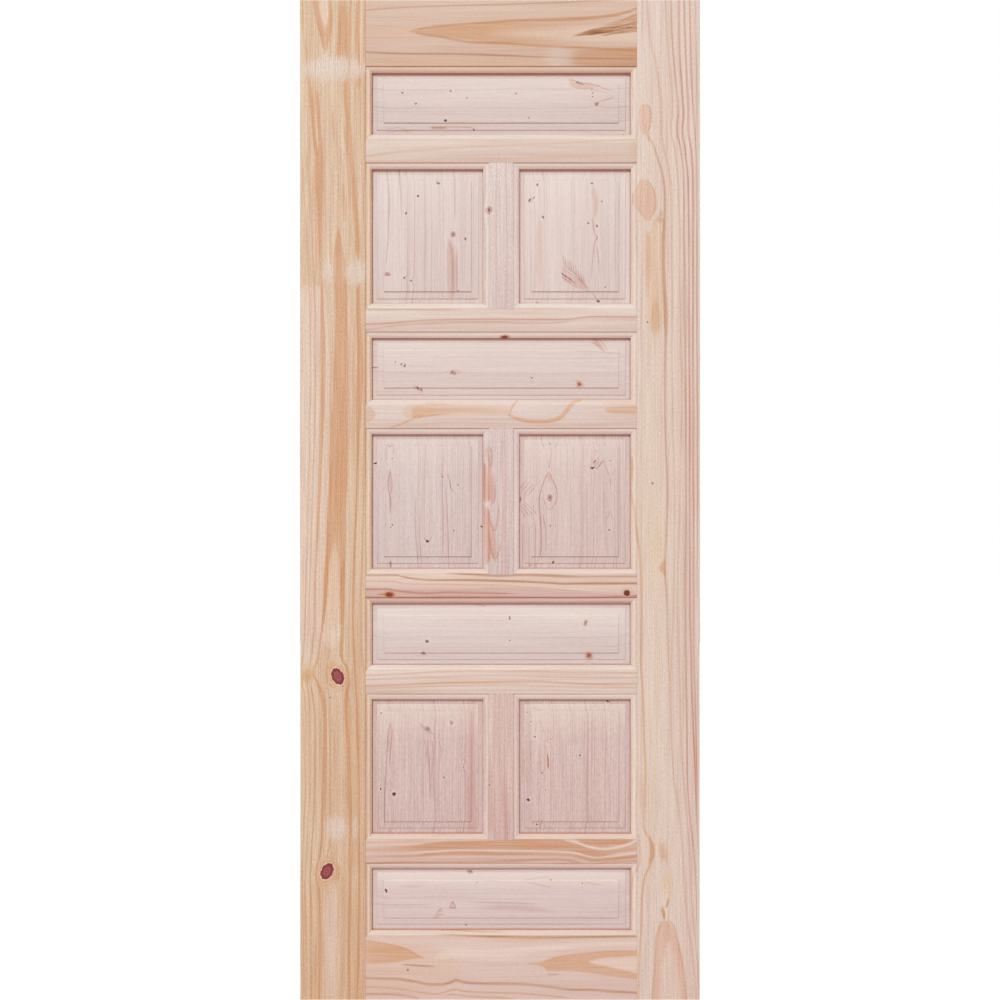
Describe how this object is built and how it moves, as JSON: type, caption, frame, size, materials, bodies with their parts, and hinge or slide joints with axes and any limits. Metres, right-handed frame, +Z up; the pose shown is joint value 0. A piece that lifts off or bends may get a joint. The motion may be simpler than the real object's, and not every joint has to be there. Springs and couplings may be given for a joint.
{
  "type": "panelled wooden door leaf",
  "caption": "Solid pine door leaf with moulded stiles, rails and muntins framing rows of wide and paired raised and fielded panels, alike on both faces.",
  "frame": {"origin": "foot of the hinge edge, at the middle of the thickness", "axes": "+X across the leaf from the hinge edge to the latch edge, -Y towards the front face, +Z up"},
  "size_m": [0.8, 0.035, 2],
  "materials": {
    "stile_pine": "planed and sanded, unfinished",
    "rail_pine": "planed and sanded, unfinished",
    "muntin_pine": "planed and sanded, unfinished",
    "panel_spruce": "edge-glued, sanded, unfinished"
  },
  "bodies": {
    "root": {"hinge_stile": "stile_pine", "latch_stile": "stile_pine", "top_rail": "rail_pine", "cross_rail_1": "rail_pine", "cross_rail_2": "rail_pine", "cross_rail_3": "rail_pine", "cross_rail_4": "rail_pine", "cross_rail_5": "rail_pine", "cross_rail_6": "rail_pine", "bottom_rail": "rail_pine", "muntin_1": "muntin_pine", "muntin_2": "muntin_pine", "muntin_3": "muntin_pine", "wide_panel_1": "panel_spruce", "wide_panel_2": "panel_spruce", "wide_panel_3": "panel_spruce", "wide_panel_4": "panel_spruce", "left_panel_1": "panel_spruce", "right_panel_1": "panel_spruce", "left_panel_2": "panel_spruce", "right_panel_2": "panel_spruce", "left_panel_3": "panel_spruce", "right_panel_3": "panel_spruce"}
  },
  "joints": []
}
